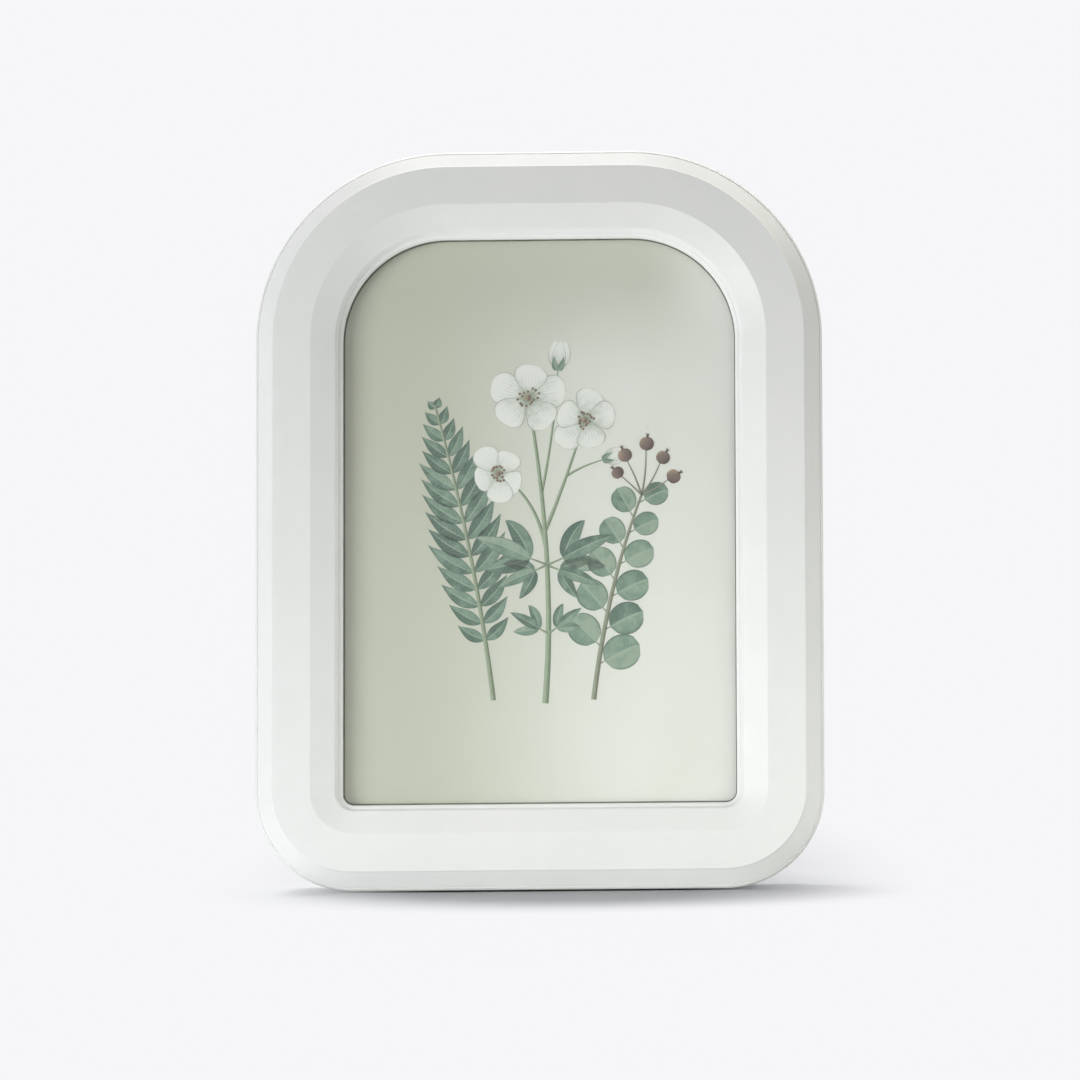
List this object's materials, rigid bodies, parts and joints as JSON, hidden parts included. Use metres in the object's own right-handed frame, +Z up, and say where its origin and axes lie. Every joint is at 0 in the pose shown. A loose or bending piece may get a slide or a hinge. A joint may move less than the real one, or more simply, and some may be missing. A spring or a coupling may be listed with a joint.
{
  "type": "arched photo frame",
  "caption": "White tabletop photo frame with an arched top, stepped moulding, glazed window, loose back held by turn buttons, folding strut leg and keyhole hanger.",
  "frame": {"origin": "on the table under the middle of the standing frame's bounding box", "axes": "+Z up, +X to the viewer's right, +Y from the glass to the strut; the frame leans back"},
  "size_m": [0.1704, 0.0898, 0.2174],
  "materials": {
    "white_paint": "satin white paint",
    "clear_glass": "polished",
    "print_paper": "matt art paper",
    "grey_card": "raw card",
    "hardboard": "raw brown hardboard",
    "plated_steel": "nickel plated",
    "soft_pad": "soft foam pad"
  },
  "bodies": {
    "frame": {"frame_moulding": "white_paint", "glass_pane": "clear_glass", "photo_print": "print_paper", "filler_card": "grey_card", "back_board": "hardboard", "hinge_board_leaf": "plated_steel", "hinge_pin": "plated_steel", "board_rivets": "plated_steel", "turn_button_screws": "plated_steel", "hanger_plate": "plated_steel", "hanger_screws": "plated_steel", "bumper_pads": "soft_pad"},
    "strut": {"strut_leg": "hardboard", "hinge_strut_leaf": "plated_steel", "strut_rivets": "plated_steel"},
    "turn_button_left_upper": {"turn_button_left_upper": "plated_steel"},
    "turn_button_left_lower": {"turn_button_left_lower": "plated_steel"},
    "turn_button_right_upper": {"turn_button_right_upper": "plated_steel"},
    "turn_button_right_lower": {"turn_button_right_lower": "plated_steel"},
    "turn_button_top_left": {"turn_button_top_left": "plated_steel"},
    "turn_button_top_right": {"turn_button_top_right": "plated_steel"}
  },
  "joints": [
    {"name": "strut_fold", "type": "hinge", "parent": "frame", "child": "strut", "pos_m": [0, 0.01226, 0.14122], "axis": [-1, 0, 0], "range_deg": [0, 27]},
    {"name": "turn_left_upper", "type": "hinge", "parent": "frame", "child": "turn_button_left_upper", "pos_m": [-0.0705, 0.01319, 0.15319], "axis": [0, 0.9659, -0.2588], "continuous": true},
    {"name": "turn_left_lower", "type": "hinge", "parent": "frame", "child": "turn_button_left_lower", "pos_m": [-0.0705, -0.01243, 0.05756], "axis": [0, 0.9659, -0.2588], "continuous": true},
    {"name": "turn_right_upper", "type": "hinge", "parent": "frame", "child": "turn_button_right_upper", "pos_m": [0.0705, 0.01319, 0.15319], "axis": [0, 0.9659, -0.2588], "continuous": true},
    {"name": "turn_right_lower", "type": "hinge", "parent": "frame", "child": "turn_button_right_lower", "pos_m": [0.0705, -0.01243, 0.05756], "axis": [0, 0.9659, -0.2588], "continuous": true},
    {"name": "turn_top_left", "type": "hinge", "parent": "frame", "child": "turn_button_top_left", "pos_m": [-0.041, 0.02523, 0.1981], "axis": [0, 0.9659, -0.2588], "continuous": true},
    {"name": "turn_top_right", "type": "hinge", "parent": "frame", "child": "turn_button_top_right", "pos_m": [0.041, 0.02523, 0.1981], "axis": [0, 0.9659, -0.2588], "continuous": true}
  ]
}
